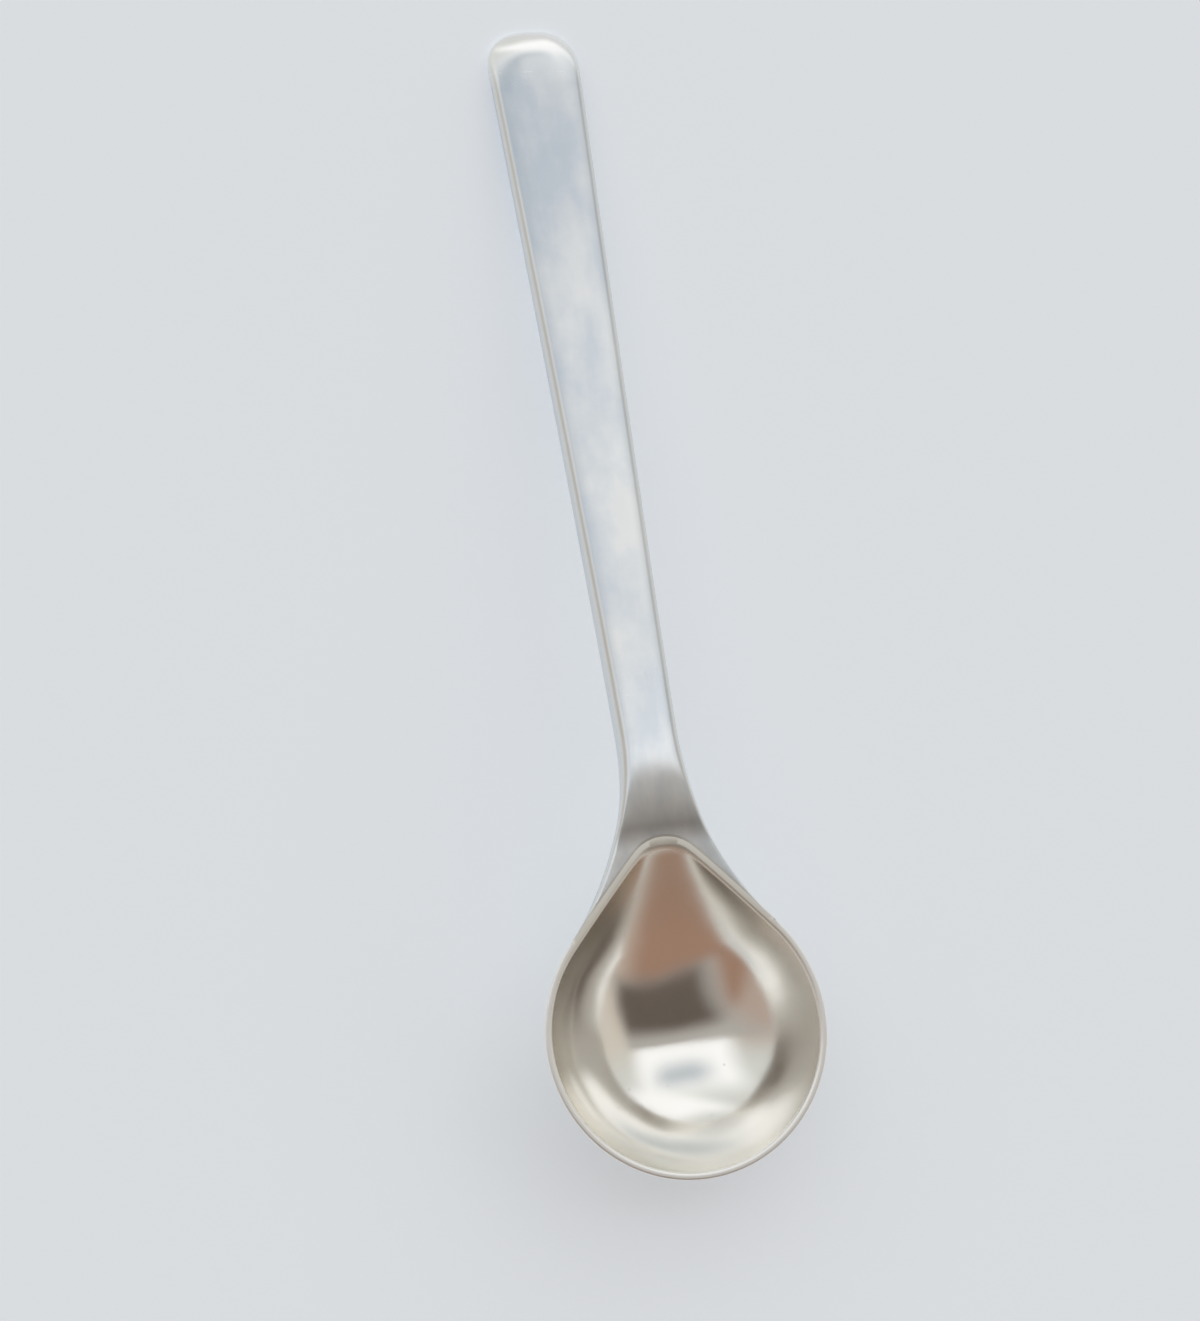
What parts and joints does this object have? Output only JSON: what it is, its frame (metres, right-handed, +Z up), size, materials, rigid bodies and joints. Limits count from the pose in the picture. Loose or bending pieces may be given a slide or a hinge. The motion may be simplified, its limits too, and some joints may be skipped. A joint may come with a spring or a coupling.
{
  "type": "salt spoon",
  "caption": "Small silver salt spoon with a deep teardrop bowl soldered into the forked root of a plain tapered handle with a rounded end.",
  "frame": {"origin": "centre of the small flat under the bowl, on the surface that the spoon lies on", "axes": "+Z up with the rim level, +Y from the bowl along the handle, X across the spoon"},
  "size_m": [0.0198, 0.08, 0.008],
  "materials": {
    "bowl_silver": "polished sterling silver, mirror bright inside",
    "handle_silver": "polished sterling silver with the soft haze and fine scratches of use",
    "silver_solder": "polished hard silver solder, slightly greyer than the sheet"
  },
  "bodies": {
    "root": {"bowl": "bowl_silver", "handle": "handle_silver", "solder_seam": "silver_solder"}
  },
  "joints": []
}
